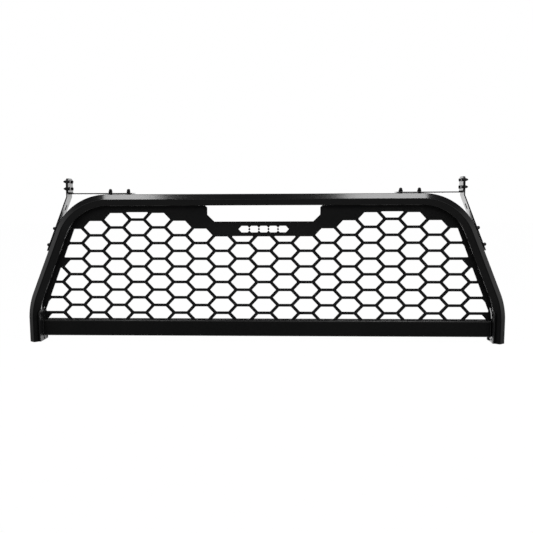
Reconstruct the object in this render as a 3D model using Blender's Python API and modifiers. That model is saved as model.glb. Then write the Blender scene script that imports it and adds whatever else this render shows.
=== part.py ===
"""Headache rack for a pickup truck: a bent tube hoop with a hexagon mesh panel, a bottom rail, foot plates,
and a pair of two-piece brackets for work lights on the shoulders.

Metres, +Z up. X runs across the truck, -Y faces the load bed and +Y the cab. The legs stand on Z = 0."""

import math

import bmesh
import bpy
from mathutils import Matrix, Vector

# Driving dimensions
HALF_WIDTH = 0.8725  # outer face of an upright foot
RACK_HEIGHT = 0.543  # top face of the hoop above its feet
TUBE_WIDTH = 0.0415  # hoop section across the plane of the rack
TUBE_BACK = 0.034  # flat back of the section
TUBE_FRONT = -0.019  # front edge of the section's two flat sides
TUBE_NOSE = -0.034  # ridge of the section's V front
TUBE_WALL = 0.002
LEAN = math.radians(22.2)  # legs lean inwards above the foot bend
SHOULDER_RADIUS = 0.2065  # outer radius of the top corners
SHOULDER_X = 0.5675  # centre of the top corners
FOOT_BEND_RADIUS = 0.265

PANEL_FRONT = 0.012
PANEL_THICKNESS = 0.003
CELL_PITCH_X = 0.0776
CELL_PITCH_Z = 0.02892
LATTICE_HEIGHT = 0.3065  # centre of the middle cell
CELL_TIP = 0.0452  # half width of an opening at its two side tips
CELL_EDGE = 0.0224  # half length of its top and bottom edges
CELL_RISE = 0.0243  # half its height
BORDER_X = 0.745  # solid margin beside the legs, at the lattice height
BORDER_SLOPE = 0.396

RAIL_TOP = 0.0803
RAIL_HEIGHT = 0.0605
RAIL_DEPTH = 0.040
RAIL_CORNER = 0.006
RAIL_WALL = 0.0025

FOOT_PLATE = 0.0041
FOOT_PLATE_BOTTOM = 0.0021
FOOT_PLATE_TOP = 0.119
FOOT_PLATE_CORNER = 0.018
FOOT_HOLE = 0.0052  # radius
FOOT_HOLE_HEIGHT = 0.0108
FOOT_HOLE_SPREAD = 0.0127

BRACKET_WIDTH = 0.050
BRACKET_Y = 0.0070
BRACKET_THICKNESS = 0.0041
TAB_FACE_X = 0.7070  # inner face of the bracket's upright tab
TAB_TOP = 0.6015
TAB_CORNER = 0.012
ARM_START_X = 0.474
BEND_RADIUS = 0.004
STRUT_FOOT_Z = 0.3375
STRUT_STANDOFF = 0.0018
ARM_STANDOFF = 0.0010

TAB_BOLT_HEIGHTS = (0.5641, 0.5895)
TAB_BOLT_SPREAD = 0.016
TOP_STUD_X = (0.493, 0.5595)
SIDE_BOLT_HEIGHTS = (0.4135, 0.3535)
SLOT_HEIGHT = 0.4950
SLOT_RADIUS = 0.006
SLOT_LENGTH = 0.023

GAP = 0.0003  # clearance between pieces that touch on the real rack
SHANK = 0.0028  # radii of the M6 fasteners
BORE = 0.0031
CLEARANCE_HOLE = 0.0034
HEX_ACROSS_FLATS = 0.010
HEAD_HEIGHT = 0.004
TAB_BOLT_LENGTH = 0.0195
LOCK_NUT = (0.005, 0.0075)  # hexagon and full height
DOME_ACROSS_FLATS = 0.013
DOME_HEX = 0.0065
DOME_RADIUS = 0.0061
STUD = 0.0038  # radii of the M8 studs, and of the bores and holes round them
STUD_BORE = 0.0041
STUD_HOLE = 0.0045
STUD_RISE = 0.0100
RIVET_NUT_BODY = 0.0055
RIVET_NUT_FLANGE = 0.0080
RIVET_NUT_LENGTH = 0.016

SIDES = (("left", -1), ("right", 1))

for old in list(bpy.data.objects):
    bpy.data.objects.remove(old, do_unlink=True)

parts = bpy.data.collections.new("headache_rack")
cutters = bpy.data.collections.new("cutters")
bpy.context.scene.collection.children.link(parts)
bpy.context.scene.collection.children.link(cutters)


def paint(name, colour, roughness, metallic):
    material = bpy.data.materials.new(name)
    material.use_nodes = True
    shader = material.node_tree.nodes["Principled BSDF"]
    shader.inputs["Base Color"].default_value = (*colour, 1)
    shader.inputs["Roughness"].default_value = roughness
    shader.inputs["Metallic"].default_value = metallic
    return material


POWDER_COAT = paint("black_powder_coat", (0.012, 0.012, 0.013), 0.32, 0.0)
BLACK_ZINC = paint("black_zinc_steel", (0.03, 0.03, 0.032), 0.38, 0.9)
BARE_ZINC = paint("zinc_plated_steel", (0.55, 0.55, 0.56), 0.35, 1.0)
PLUG_PLASTIC = paint("black_plastic", (0.02, 0.02, 0.02), 0.6, 0.0)


# Shared modelling steps
def link(name, data, material, collection=parts):
    thing = bpy.data.objects.new(name, data)
    collection.objects.link(thing)
    data.materials.append(material)
    return thing


def as_mesh(thing):
    """Turn a curve object into a welded mesh object of the same name, its place applied."""
    bpy.context.view_layer.update()
    evaluated = thing.evaluated_get(bpy.context.evaluated_depsgraph_get())
    mesh = bpy.data.meshes.new_from_object(evaluated)
    mesh.transform(thing.matrix_world)
    name, collection = thing.name, thing.users_collection[0]
    bpy.data.objects.remove(thing)
    shell = bmesh.new()
    shell.from_mesh(mesh)
    bmesh.ops.remove_doubles(shell, verts=shell.verts, dist=1e-6)
    bmesh.ops.recalc_face_normals(shell, faces=shell.faces)
    shell.to_mesh(mesh)
    shell.free()
    solid = bpy.data.objects.new(name, mesh)
    collection.objects.link(solid)
    return solid


def cut(solid, cutter, operation="DIFFERENCE"):
    step = solid.modifiers.new("cut", "BOOLEAN")
    step.operation = operation
    step.object = cutter


def soften(solid):
    solid.data.shade_smooth()
    solid.data.set_sharp_from_angle(angle=math.radians(30))


def outline(name, loops, thickness, material, collection=parts):
    """A flat piece along Z from closed loops of (x, y) points: the first is the edge, the rest are holes."""
    curve = bpy.data.curves.new(name, "CURVE")
    curve.dimensions = "2D"
    curve.fill_mode = "BOTH"
    curve.extrude = thickness / 2
    for loop in loops:
        spline = curve.splines.new("POLY")
        spline.points.add(len(loop) - 1)
        for point, (x, y) in zip(spline.points, loop):
            point.co = (x, y, 0, 1)
        spline.use_cyclic_u = True
    return link(name, curve, material, collection)


# A flat outline lies in XY: these turn it up into the rack's plane, or into the plane of a leg's side.
ACROSS = Matrix.Rotation(math.radians(90), 4, "X")
SIDEWAYS = Matrix(((0, 0, 1), (1, 0, 0), (0, 1, 0))).to_4x4()


def arc(centre, radius, start, end, steps):
    """Points of an arc, its angles in degrees."""
    found = []
    for i in range(steps + 1):
        angle = math.radians(start + (end - start) * i / steps)
        found.append((centre[0] + radius * math.cos(angle), centre[1] + radius * math.sin(angle)))
    return found


def rounded(corners, radii, steps=3):
    """A closed loop through corners, each rounded to its own radius."""
    loop = []
    for i, (corner, radius) in enumerate(zip(corners, radii)):
        here = Vector(corner)
        back = (Vector(corners[i - 1]) - here).normalized()
        ahead = (Vector(corners[(i + 1) % len(corners)]) - here).normalized()
        if radius == 0:
            loop.append(tuple(here))
            continue
        half = back.angle(ahead) / 2
        centre = here + (back + ahead).normalized() * (radius / math.sin(half))
        first = here + back * (radius / math.tan(half)) - centre
        last = here + ahead * (radius / math.tan(half)) - centre
        start = math.degrees(math.atan2(first.y, first.x))
        sweep = math.degrees(math.atan2(last.y, last.x)) - start
        sweep = (sweep + 180) % 360 - 180
        loop += arc(centre, radius, start, start + sweep, steps)
    return loop


def rod(name, radius, length, place, axis, material, collection=parts, sides=16, twist=0.0):
    """A cylinder of one radius along axis, centred on place."""
    mesh = bpy.data.meshes.new(name)
    shell = bmesh.new()
    bmesh.ops.create_cone(shell, cap_ends=True, segments=sides, radius1=radius, radius2=radius, depth=length)
    shell.to_mesh(mesh)
    shell.free()
    solid = link(name, mesh, material, collection)
    turn = Vector((0, 0, 1)).rotation_difference(axis).to_matrix().to_4x4()
    solid.matrix_world = Matrix.Translation(place) @ turn @ Matrix.Rotation(twist, 4, "Z")
    return solid


DRILL_TWIST = math.radians(4)  # keeps the edges of a row of holes out of line


def drill(name, radius, length, place, axis, targets, sides=16):
    cutter = rod(name, radius, length, place, axis, BLACK_ZINC, cutters, sides, DRILL_TWIST)
    cutter.hide_render = True
    cutter.display_type = "WIRE"
    for target in targets:
        cut(target, cutter)


def lathe(name, profile, material, closed=False, steps=16):
    """A turned piece about Z: (radius, height) points running down its outer side."""
    mesh = bpy.data.meshes.new(name)
    links = [(i, i + 1) for i in range(len(profile) - 1)]
    if closed:
        links.append((len(profile) - 1, 0))
    mesh.from_pydata([(radius, 0, height) for radius, height in profile], links, [])
    solid = link(name, mesh, material)
    spin = solid.modifiers.new("turn", "SCREW")
    spin.steps = steps
    spin.render_steps = steps
    spin.use_merge_vertices = True
    spin.merge_threshold = 0.00001
    return solid


# The hoop: one tube bent along a path of two feet, two legs, two shoulders and the top
def leg_line():
    """Where a right leg's outer face meets its shoulder, and the leg's upward and outward directions."""
    out = Vector((math.cos(LEAN), math.sin(LEAN)))
    shoulder = Vector((SHOULDER_X, RACK_HEIGHT - SHOULDER_RADIUS)) + out * SHOULDER_RADIUS
    return shoulder, Vector((-math.sin(LEAN), math.cos(LEAN))), out


def hoop_path(inset, below=0.0):
    """Points in X and Z along the hoop, inset from its outer face, from the left foot to the right."""
    lean = math.degrees(LEAN)
    shoulder, up, out = leg_line()
    corner_drop = (HALF_WIDTH - shoulder.x) / math.sin(LEAN)
    bend_start = shoulder.y - corner_drop * math.cos(LEAN) - FOOT_BEND_RADIUS * math.tan(LEAN / 2)
    foot_centre = (HALF_WIDTH - FOOT_BEND_RADIUS, bend_start)
    right = [(HALF_WIDTH - inset, -below)]
    right += arc(foot_centre, FOOT_BEND_RADIUS - inset, 0, lean, 5)
    right += arc((SHOULDER_X, RACK_HEIGHT - SHOULDER_RADIUS), SHOULDER_RADIUS - inset, lean, 90, 11)
    left = [(-x, z) for x, z in right]
    return left + right[::-1]


def section(inset):
    """The tube's outline, V front down: x across the plane of the rack, y through it."""
    half = TUBE_WIDTH / 2
    slope = (TUBE_FRONT - TUBE_NOSE) / half
    nose = TUBE_NOSE + inset * math.hypot(1, slope)
    edge = nose + (half - inset) * slope
    corners = [
        (half - inset, TUBE_BACK - inset),
        (-half + inset, TUBE_BACK - inset),
        (-half + inset, edge),
        (0, nose),
        (half - inset, edge),
    ]
    return rounded(corners, [0.0045 - inset, 0.0045 - inset, 0.004 - inset, 0.005 - inset, 0.004 - inset], 2)


def hoop_sweep(name, inset, below, collection, capped):
    """The tube's outline, inset from its outer skin, swept along the hoop."""
    profile = bpy.data.curves.new(name + "_profile", "CURVE")
    profile.dimensions = "2D"
    ring = profile.splines.new("POLY")
    points = section(inset)
    ring.points.add(len(points) - 1)
    for point, (x, y) in zip(ring.points, points):
        point.co = (x, -y, 0, 1)
    ring.use_cyclic_u = True
    outline_of = bpy.data.objects.new(name + "_profile", profile)
    cutters.objects.link(outline_of)
    path = bpy.data.curves.new(name, "CURVE")
    path.dimensions = "2D"
    path.bevel_mode = "OBJECT"
    path.bevel_object = outline_of
    path.use_fill_caps = capped
    run = path.splines.new("POLY")
    route = hoop_path(TUBE_WIDTH / 2, below)
    run.points.add(len(route) - 1)
    for point, (x, z) in zip(run.points, route):
        point.co = (x, z, 0, 1)
    sweep = link(name, path, POWDER_COAT, collection)
    sweep.matrix_world = ACROSS
    solid = as_mesh(sweep)
    bpy.data.objects.remove(outline_of)
    return solid


def as_cutter(solid):
    solid.hide_render = True
    solid.display_type = "WIRE"
    return solid


frame_hoop = hoop_sweep("frame_hoop", 0, 0, parts, False)
wall = frame_hoop.modifiers.new("wall", "SOLIDIFY")
wall.thickness = TUBE_WALL
wall.offset = -1
wall.use_even_offset = True
hoop_clearance = as_cutter(hoop_sweep("hoop_clearance", -GAP, 0.01, cutters, True))

# Plastic plugs that close the open ends of the legs
PLUG_THICKNESS = 0.004
PLUG_RECESS = 0.001
for side, sign in SIDES:
    centre_x = sign * (HALF_WIDTH - TUBE_WIDTH / 2)
    plug = outline(f"foot_plug_{side}", [section(TUBE_WALL + GAP)], PLUG_THICKNESS, PLUG_PLASTIC)
    plug.matrix_world = Matrix.Translation((centre_x, 0, PLUG_RECESS + PLUG_THICKNESS / 2))
    as_mesh(plug)


# Bottom rail: a rounded box tube between the two foot plates
plate_face = HALF_WIDTH - TUBE_WIDTH - GAP - FOOT_PLATE
panel_middle = PANEL_FRONT
rail_length = 2 * (plate_face - GAP)


def box_loop(width, height, radius):
    half, rise = width / 2, height / 2
    corners = [(-half, -rise), (half, -rise), (half, rise), (-half, rise)]
    return rounded(corners, [radius] * 4)


rail_bore = box_loop(RAIL_DEPTH - 2 * RAIL_WALL, RAIL_HEIGHT - 2 * RAIL_WALL, RAIL_CORNER - RAIL_WALL)
rail_loops = [box_loop(RAIL_DEPTH, RAIL_HEIGHT, RAIL_CORNER), rail_bore]
rail = outline("bottom_rail", rail_loops, rail_length, POWDER_COAT)
rail.matrix_world = Matrix.Translation((0, panel_middle, RAIL_TOP - RAIL_HEIGHT / 2)) @ SIDEWAYS
soften(as_mesh(rail))


# Mesh panel: flat sheet with staggered hexagon openings, cut off along the legs, the window and the rail
def opening(column, row, scale=1.0, centre=None):
    x, z = centre or (column * CELL_PITCH_X, LATTICE_HEIGHT - row * CELL_PITCH_Z)
    tip, edge, rise = CELL_TIP * scale, CELL_EDGE * scale, CELL_RISE * scale
    corners = [(-tip, 0), (-edge, -rise), (edge, -rise), (tip, 0), (edge, rise), (-edge, rise)]
    if centre is None and (row, abs(column)) in OPEN_TO_MARGIN:
        outer = math.copysign(1, column)
        corners = [(-tip, 0), (-edge, -rise), (2 * tip - edge, -rise), (edge, rise), (-edge, rise)]
        corners = [(outer * dx, dz) for dx, dz in corners]
    return [(x + dx, z + dz) for dx, dz in corners]


def trimmed(loop, normal, limit):
    """The part of a convex loop where normal . point is under limit."""
    kept = []
    for (x0, z0), (x1, z1) in zip(loop, loop[1:] + loop[:1]):
        d0 = normal[0] * x0 + normal[1] * z0 - limit
        d1 = normal[0] * x1 + normal[1] * z1 - limit
        if d0 <= 0:
            kept.append((x0, z0))
        if d0 * d1 < 0:
            t = d0 / (d0 - d1)
            kept.append((x0 + t * (x1 - x0), z0 + t * (z1 - z0)))
    return kept


# Columns with an opening on each row, counted from the middle of the rack and mirrored
ROWS = {
    -6: (6,),
    -5: (5, 7),
    -4: (4, 6, 8),
    -3: (1, 3, 5, 7, 9),
    -2: (0, 2, 4, 6, 8),
    -1: (1, 3, 5, 7, 9),
    0: (0, 2, 4, 6, 8),
    1: (1, 3, 5, 7, 9),
    2: (0, 2, 4, 6, 8, 10),
    3: (1, 3, 5, 7, 9),
    4: (0, 2, 4, 6, 8, 10),
    5: (1, 3, 5, 7, 9),
    6: (0, 2, 4, 6, 8, 10),
    7: (1, 3, 5, 7, 9),
}
OPEN_TO_MARGIN = ((-1, 9), (6, 10))  # no web below these on the outer side, so they run on to the margin
SIGN_BOTTOM = 0.3895  # lower edge of the solid strip under the window
TOP_MARGIN = 0.4780  # upper limit of the openings beside the window
BADGE_HEIGHT = 0.4150
BADGE_PITCH = 0.0350
BADGE_SCALE = 0.5


def panel_openings():
    found = []
    for row, columns in ROWS.items():
        for column in sorted({sign * c for c in columns for sign in (-1, 1)}):
            loop = opening(column, row)
            for sign in (-1, 1):
                limit = BORDER_X + BORDER_SLOPE * LATTICE_HEIGHT
                loop = trimmed(loop, (sign, BORDER_SLOPE), limit)
            if row == -3 and abs(column) == 1:
                loop = trimmed(loop, (0, 1), SIGN_BOTTOM)
            if row == -6:
                loop = trimmed(loop, (0, 1), TOP_MARGIN)
            found.append(loop)
    for step in range(-2, 3):
        found.append(opening(0, 0, BADGE_SCALE, (step * BADGE_PITCH, BADGE_HEIGHT)))
    return found


WINDOW = [(0.2135, 0.5012), (0.2060, 0.4945), (0.2060, 0.4675), (0.1810, 0.4430)]
OPEN_ROW = 8  # the last row is cut through by the rail
panel_bottom = RAIL_TOP + GAP
edge_limit = plate_face - GAP
inner_edge = [(x, z) for x, z in hoop_path(TUBE_WIDTH + GAP) if z > panel_bottom]
right_edge = [(min(x, edge_limit), z) for x, z in inner_edge if x > 0]
foot_corner = [(edge_limit, panel_bottom)]
teeth = []
for column in range(10, -11, -2):
    x, z = column * CELL_PITCH_X, LATTICE_HEIGHT - OPEN_ROW * CELL_PITCH_Z
    rise = panel_bottom - z
    flare = CELL_TIP - (CELL_TIP - CELL_EDGE) * rise / CELL_RISE
    top = z + CELL_RISE
    teeth += [(x + flare, panel_bottom), (x + CELL_EDGE, top)]
    teeth += [(x - CELL_EDGE, top), (x - flare, panel_bottom)]
left_edge = [(-x, z) for x, z in right_edge[::-1]]
window_edge = [(-x, z) for x, z in WINDOW] + WINDOW[::-1]
edge = left_edge + window_edge + right_edge + foot_corner + teeth + [(-edge_limit, panel_bottom)]
panel = outline("mesh_panel", [edge, *panel_openings()], PANEL_THICKNESS, POWDER_COAT)
panel.matrix_world = Matrix.Translation((0, PANEL_FRONT + PANEL_THICKNESS / 2, 0)) @ ACROSS
as_mesh(panel)


# Foot plates: flat steel on the inner side of each foot, drilled for the bolts to the truck
for side, sign in SIDES:
    half = -TUBE_NOSE
    top, low = FOOT_PLATE_TOP, FOOT_PLATE_BOTTOM
    corners = [(-half, low), (half, low), (half, top), (-half, top)]
    loop = rounded(corners, [0.002, 0.002, FOOT_PLATE_CORNER, FOOT_PLATE_CORNER], 5)
    plate = outline(f"foot_plate_{side}", [loop], FOOT_PLATE, POWDER_COAT)
    plate.matrix_world = Matrix.Translation((sign * (plate_face + FOOT_PLATE / 2), 0, 0)) @ SIDEWAYS
    plate = as_mesh(plate)
    cut(plate, hoop_clearance)
    for i, offset in enumerate((-FOOT_HOLE_SPREAD, FOOT_HOLE_SPREAD)):
        place = (sign * (plate_face + 0.003), panel_middle + offset, FOOT_HOLE_HEIGHT)
        drill(f"foot_drill_{side}_{i}", FOOT_HOLE, 0.012, place, Vector((1, 0, 0)), (plate, frame_hoop))


# Light brackets: an arm along the hoop's top and a strut down each leg, bolted together at an upright tab
def tab_corners(sign):
    """A slab that keeps a bracket's width and rounds the top of its tab."""
    low = 0.30
    half = BRACKET_WIDTH / 2
    corners = [(-half, low), (half, low), (half, TAB_TOP), (-half, TAB_TOP)]
    loop = rounded(corners, [0, 0, TAB_CORNER, TAB_CORNER], 4)
    slab = outline(f"tab_corners_{sign}", [loop], 0.6, POWDER_COAT, cutters)
    slab.matrix_world = Matrix.Translation((sign * 0.65, BRACKET_Y, 0)) @ SIDEWAYS
    return as_cutter(as_mesh(slab))


def bracket(name, sign, corners, radii, slab):
    """A bent flat bar: its side outline in X and Z, as wide as the bracket."""
    loop = [(sign * x, z) for x, z in rounded(corners, radii, 4)]
    bar = outline(name, [loop], BRACKET_WIDTH + 0.002, POWDER_COAT)
    bar.matrix_world = Matrix.Translation((0, BRACKET_Y, 0)) @ ACROSS
    bar = as_mesh(bar)
    cut(bar, slab, "INTERSECT")
    return bar


def arm_corners():
    low = RACK_HEIGHT + ARM_STANDOFF
    high = low + BRACKET_THICKNESS
    back = TAB_FACE_X + BRACKET_THICKNESS
    corners = [(ARM_START_X, low), (back, low), (back, TAB_TOP + 0.001), (TAB_FACE_X, TAB_TOP + 0.001)]
    corners += [(TAB_FACE_X, high), (ARM_START_X, high)]
    return corners, [0, BEND_RADIUS + BRACKET_THICKNESS, 0, 0, BEND_RADIUS, 0]


def strut_corners():
    shoulder, up, out = leg_line()

    def on_leg(offset, distance):
        return tuple(shoulder + out * offset + up * distance)

    def meets(offset, x):
        return (shoulder.x + offset * out.x - x) / math.sin(LEAN)

    near, far = STRUT_STANDOFF, STRUT_STANDOFF + BRACKET_THICKNESS
    face = TAB_FACE_X + BRACKET_THICKNESS + GAP
    back = face + BRACKET_THICKNESS
    foot = (STRUT_FOOT_Z - shoulder.y) / math.cos(LEAN)
    corners = [on_leg(near, foot), on_leg(near, meets(near, face))]
    corners += [(face, TAB_TOP + 0.001), (back, TAB_TOP + 0.001)]
    corners += [on_leg(far, meets(far, back)), on_leg(far, foot)]
    return corners, [0, BEND_RADIUS + BRACKET_THICKNESS, 0, 0, BEND_RADIUS, 0]


def stadium(radius, length):
    straight = length / 2 - radius
    return arc((0, straight), radius, 0, 180, 6) + arc((0, -straight), radius, 180, 360, 6)


brackets = {}
for side, sign in SIDES:
    slab = tab_corners(sign)
    brackets["arm", side] = bracket(f"light_arm_{side}", sign, *arm_corners(), slab)
    brackets["strut", side] = bracket(f"light_strut_{side}", sign, *strut_corners(), slab)
    shoulder, up, out = leg_line()
    climb = (SLOT_HEIGHT - shoulder.y) / math.cos(LEAN)
    middle = shoulder + up * climb
    slot = outline(f"strut_slot_{side}", [stadium(SLOT_RADIUS, SLOT_LENGTH)], 0.03, POWDER_COAT, cutters)
    turn = Matrix.Rotation(-sign * LEAN, 4, "Y")
    slot.matrix_world = Matrix.Translation((sign * middle.x, BRACKET_Y + 0.003, middle.y)) @ turn @ SIDEWAYS
    cut(brackets["strut", side], as_cutter(as_mesh(slot)))


# Fasteners, M6 at the tabs and M8 along the arms and legs. Each shape is made once about Z, its seat at
# height 0 and its outer end up
def keep_shape(solid):
    """The finished mesh of a shape made of joined solids. The working objects are removed."""
    bpy.context.view_layer.update()
    mesh = bpy.data.meshes.new_from_object(solid.evaluated_get(bpy.context.evaluated_depsgraph_get()))
    mesh.transform(solid.matrix_world)
    helpers = [step.object for step in solid.modifiers if step.type == "BOOLEAN"]
    for helper in [*helpers, solid]:
        bpy.data.objects.remove(helper)
    mesh.shade_smooth()
    mesh.set_sharp_from_angle(angle=math.radians(30))
    return mesh


UP = Vector((0, 0, 1))
hex_radius = HEX_ACROSS_FLATS / 2 / math.cos(math.radians(30))


def hexagon(name, height, material):
    return rod(name, hex_radius, height, (0, 0, height / 2), UP, material, parts, 6)


def hex_bolt_shape():
    solid = hexagon("hex_bolt", HEAD_HEIGHT, BLACK_ZINC)
    length = TAB_BOLT_LENGTH + HEAD_HEIGHT / 2
    shank = rod("hex_bolt_shank", SHANK, length, (0, 0, HEAD_HEIGHT / 2 - length / 2), UP, BLACK_ZINC)
    cut(solid, shank, "UNION")
    return keep_shape(solid)


def lock_nut_shape():
    hex_height, height = LOCK_NUT
    solid = hexagon("lock_nut", hex_height, BLACK_ZINC)
    collar_middle = (0, 0, height / 2 + 0.001)
    cut(solid, rod("lock_collar", 0.0043, height - 0.002, collar_middle, UP, BLACK_ZINC), "UNION")
    cut(solid, rod("lock_bore", BORE, 0.03, (0, 0, 0), UP, BLACK_ZINC))
    return keep_shape(solid)


def dome_nut_shape():
    corner = DOME_ACROSS_FLATS / 2 / math.cos(math.radians(30))
    solid = rod("dome_nut", corner, DOME_HEX, (0, 0, DOME_HEX / 2), UP, BLACK_ZINC, parts, 6)
    curve = arc((0, DOME_HEX + 0.0022), DOME_RADIUS, 90, 0, 5)
    cap = lathe("dome_cap", [*curve, (DOME_RADIUS, 0.002), (0, 0.002)], BLACK_ZINC)
    cut(solid, cap, "UNION")
    cut(solid, rod("dome_bore", STUD_BORE, 2 * STUD_RISE + 2 * GAP, (0, 0, 0), UP, BLACK_ZINC))
    return keep_shape(solid)


def rivet_nut_shape(flange):
    profile = [(RIVET_NUT_FLANGE, flange), (RIVET_NUT_FLANGE, 0), (RIVET_NUT_BODY, 0)]
    profile += [(RIVET_NUT_BODY, -RIVET_NUT_LENGTH), (STUD_BORE, -RIVET_NUT_LENGTH), (STUD_BORE, flange)]
    return keep_shape(lathe("rivet_nut", profile, BARE_ZINC, closed=True))


def stud_shape(low, high):
    return keep_shape(rod("stud", STUD, high - low, (0, 0, (low + high) / 2), UP, BARE_ZINC))


def place(name, mesh, spot, axis):
    piece = bpy.data.objects.new(name, mesh)
    parts.objects.link(piece)
    piece.matrix_world = Matrix.Translation(spot) @ UP.rotation_difference(axis).to_matrix().to_4x4()
    return piece


hex_bolt = hex_bolt_shape()
lock_nut = lock_nut_shape()
dome_nut = dome_nut_shape()
arm_flange = ARM_STANDOFF - 2 * GAP
strut_flange = STRUT_STANDOFF - 2 * GAP
arm_rivet_nut = rivet_nut_shape(arm_flange)
strut_rivet_nut = rivet_nut_shape(strut_flange)
arm_stud = stud_shape(-RIVET_NUT_LENGTH, ARM_STANDOFF + BRACKET_THICKNESS + GAP + STUD_RISE)
strut_stud = stud_shape(-RIVET_NUT_LENGTH, STRUT_STANDOFF + BRACKET_THICKNESS + GAP + STUD_RISE)

for side, sign in SIDES:
    inward, outward = Vector((-sign, 0, 0)), Vector((sign, 0, 0))
    arm, strut = brackets["arm", side], brackets["strut", side]
    nut_seat = TAB_FACE_X + 2 * BRACKET_THICKNESS + 2 * GAP
    number = 0
    for height in TAB_BOLT_HEIGHTS:
        for spread in (-TAB_BOLT_SPREAD, TAB_BOLT_SPREAD):
            number += 1
            y = BRACKET_Y + spread
            place(f"tab_bolt_{side}_{number}", hex_bolt, (sign * (TAB_FACE_X - GAP), y, height), inward)
            place(f"tab_nut_{side}_{number}", lock_nut, (sign * nut_seat, y, height), outward)
            middle = (sign * (TAB_FACE_X + BRACKET_THICKNESS), y, height)
            drill(f"tab_drill_{side}_{number}", CLEARANCE_HOLE, 0.02, middle, outward, (arm, strut))
    for number, x in enumerate(TOP_STUD_X, 1):
        rail_top = (sign * x, BRACKET_Y, RACK_HEIGHT + GAP)
        arm_top = (sign * x, BRACKET_Y, RACK_HEIGHT + ARM_STANDOFF + BRACKET_THICKNESS + GAP)
        place(f"top_rivet_nut_{side}_{number}", arm_rivet_nut, rail_top, UP)
        place(f"top_dome_nut_{side}_{number}", dome_nut, arm_top, UP)
        place(f"top_stud_{side}_{number}", arm_stud, (sign * x, BRACKET_Y, RACK_HEIGHT), UP)
        drill(f"arm_drill_{side}_{number}", STUD_HOLE, 0.02, arm_top, UP, (arm,))
        drill(f"rail_drill_{side}_{number}", RIVET_NUT_BODY + GAP, 0.02, rail_top, UP, (frame_hoop,))
    shoulder, up, out = leg_line()
    away = Vector((sign * out.x, 0, out.y))
    for number, height in enumerate(SIDE_BOLT_HEIGHTS, 1):
        climb = (height - shoulder.y) / math.cos(LEAN)
        seat = shoulder + up * climb
        on_leg = Vector((sign * seat.x, BRACKET_Y, seat.y))
        on_strut = on_leg + away * (STRUT_STANDOFF + BRACKET_THICKNESS + GAP)
        place(f"side_rivet_nut_{side}_{number}", strut_rivet_nut, on_leg + away * GAP, away)
        place(f"side_dome_nut_{side}_{number}", dome_nut, on_strut, away)
        place(f"side_stud_{side}_{number}", strut_stud, on_leg, away)
        drill(f"strut_drill_{side}_{number}", STUD_HOLE, 0.02, on_strut, away, (strut,))
        drill(f"leg_drill_{side}_{number}", RIVET_NUT_BODY + GAP, 0.02, on_leg, away, (frame_hoop,))

soften(frame_hoop)
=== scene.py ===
"""Headache rack for a pickup truck: a bent tube hoop with a V-shaped front, a hexagon mesh panel, a bottom
rail between bolt-on foot plates, and a two-piece work-light bracket on each shoulder.

Metres. X runs across the truck, -Y faces the load bed, +Y the cab and +Z up."""

import math

import bmesh
import bpy
from mathutils import Matrix, Vector


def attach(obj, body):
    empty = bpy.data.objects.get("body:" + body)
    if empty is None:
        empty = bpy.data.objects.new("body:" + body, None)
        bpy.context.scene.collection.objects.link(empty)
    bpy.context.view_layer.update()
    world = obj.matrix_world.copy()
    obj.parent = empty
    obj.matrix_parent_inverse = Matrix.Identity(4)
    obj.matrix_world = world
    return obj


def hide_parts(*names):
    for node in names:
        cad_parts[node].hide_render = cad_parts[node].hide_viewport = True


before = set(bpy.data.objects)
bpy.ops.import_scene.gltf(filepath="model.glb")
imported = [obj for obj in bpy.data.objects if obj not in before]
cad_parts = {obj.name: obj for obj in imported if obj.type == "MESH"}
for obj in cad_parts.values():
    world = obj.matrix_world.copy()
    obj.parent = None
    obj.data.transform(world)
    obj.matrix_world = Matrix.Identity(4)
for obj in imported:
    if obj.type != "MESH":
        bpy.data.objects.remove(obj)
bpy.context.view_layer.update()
scene = bpy.context.scene


# ----------------------------------------------------------------------------------------------------------
# Hoop
# One length of thin-walled steel tube, flat at the back and folded to a low V at the front. It is bent four
# times, into two shoulders and two feet, and powder-coated gloss black with a faint orange peel.
# ----------------------------------------------------------------------------------------------------------
HALF_WIDTH = 0.8725  # outer face of an upright foot
RACK_HEIGHT = 0.543
TUBE_WIDTH = 0.0415
TUBE_BACK = 0.034
TUBE_FRONT = -0.019  # where the flat sides end and the V begins
TUBE_NOSE = -0.034
TUBE_BACK_RADIUS = 0.0045
TUBE_SIDE_RADIUS = 0.0042
TUBE_NOSE_RADIUS = 0.0050
TUBE_WALL = 0.002
HOLD = 0.0004  # keeps the shading of a flat face flat, right up to its rounded edge
LEAN = math.radians(22.2)  # of the legs, from upright
SHOULDER_RADIUS = 0.2065
SHOULDER_X = 0.5675
FOOT_BEND_RADIUS = 0.265
ACROSS = Matrix.Rotation(math.radians(90), 4, "X")  # turns a flat outline up into the rack's plane
SIDEWAYS = Matrix(((0, 0, 1), (1, 0, 0), (0, 1, 0))).to_4x4()  # and into the plane of a leg's side
UP = Vector((0, 0, 1))
SIDES = (("left", -1), ("right", 1))


class Socket:
    """A node's output. Sums of sockets and numbers add their Math nodes."""

    def __init__(self, graph, out):
        self.graph = graph
        self.out = out

    def other(self, name):
        return Socket(self.graph, self.out.node.outputs[name])

    def maths(self, operation, first, second):
        return self.graph.add("ShaderNodeMath", {"operation": operation}, {0: first, 1: second})

    def __add__(self, value):
        return self.maths("ADD", self, value)

    def __sub__(self, value):
        return self.maths("SUBTRACT", self, value)

    def __rsub__(self, value):
        return self.maths("SUBTRACT", value, self)

    def __mul__(self, value):
        return self.maths("MULTIPLY", self, value)

    def __truediv__(self, value):
        return self.maths("DIVIDE", self, value)

    __radd__ = __add__
    __rmul__ = __mul__


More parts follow.
